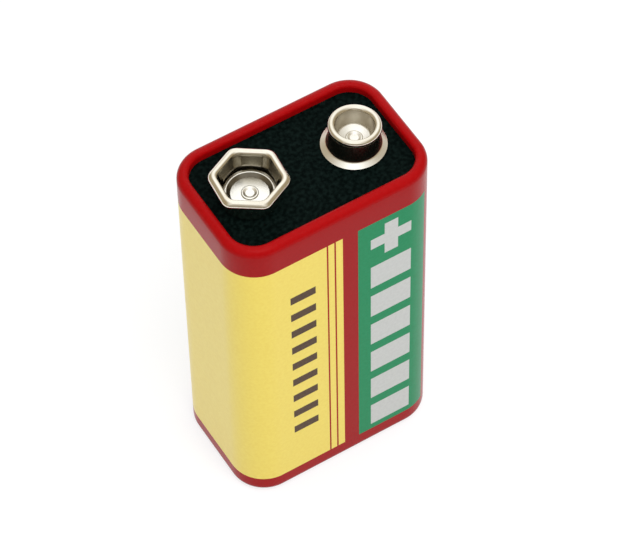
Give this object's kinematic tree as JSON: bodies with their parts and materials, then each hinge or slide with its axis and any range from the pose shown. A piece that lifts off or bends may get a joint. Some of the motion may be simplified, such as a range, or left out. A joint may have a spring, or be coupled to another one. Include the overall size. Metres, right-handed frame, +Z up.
{
  "type": "nine volt battery",
  "caption": "Rectangular nine volt battery: printed steel jacket with a rolled top bead, black top board, round stud and six sided snap socket, pile of flat cells inside",
  "frame": {"origin": "middle of the flat bottom lip, under the middle of the case", "axes": "+Z up through the case, +X from the six sided socket to the round stud, -Y out of the wide face that the picture shows"},
  "size_m": [0.025, 0.0162, 0.0479],
  "materials": {
    "red_print": "gloss lithographed red on tinplate",
    "yellow_print": "satin printed yellow with a fine screen",
    "green_print": "satin printed green",
    "pale_print": "satin printed pale grey",
    "dark_print": "satin printed dark brown",
    "black_board": "pressed black board with a fine leather grain",
    "black_plastic": "plain black moulded plate",
    "liner_card": "grey brown card",
    "nickel": "bright nickel plate",
    "tinned_strip": "tinned steel strip",
    "wrap_film": "shrunk plastic film",
    "clear_film": "clear plastic film",
    "carbon_film": "conductive carbon film",
    "zinc": "plain rolled zinc",
    "separator_paper": "paste coated paper",
    "mix": "pressed black powder"
  },
  "bodies": {
    "root": {"jacket": "red_print", "yellow_print": "yellow_print", "green_print": "green_print", "pale_marks": "pale_print", "dark_marks": "dark_print", "top_board": "black_board", "bottom_board": "black_plastic", "liner": "liner_card", "positive_stud": "nickel", "positive_rivet": "nickel", "positive_contact_tab": "tinned_strip", "negative_socket": "nickel", "negative_cup": "nickel", "negative_rivet": "nickel", "negative_strip": "tinned_strip", "insulating_card": "liner_card", "contact_plate": "zinc", "pile_wrap": "wrap_film", "cell_1_carbon_film": "carbon_film", "cell_1_zinc_plate": "zinc", "cell_1_separator": "separator_paper", "cell_1_mix_cake": "mix", "cell_1_envelope": "clear_film", "cell_2_carbon_film": "carbon_film", "cell_2_zinc_plate": "zinc", "cell_2_separator": "separator_paper", "cell_2_mix_cake": "mix", "cell_2_envelope": "clear_film", "cell_3_carbon_film": "carbon_film", "cell_3_zinc_plate": "zinc", "cell_3_separator": "separator_paper", "cell_3_mix_cake": "mix", "cell_3_envelope": "clear_film", "cell_4_carbon_film": "carbon_film", "cell_4_zinc_plate": "zinc", "cell_4_separator": "separator_paper", "cell_4_mix_cake": "mix", "cell_4_envelope": "clear_film", "cell_5_carbon_film": "carbon_film", "cell_5_zinc_plate": "zinc", "cell_5_separator": "separator_paper", "cell_5_mix_cake": "mix", "cell_5_envelope": "clear_film", "cell_6_carbon_film": "carbon_film", "cell_6_zinc_plate": "zinc", "cell_6_separator": "separator_paper", "cell_6_mix_cake": "mix", "cell_6_envelope": "clear_film"}
  },
  "joints": []
}
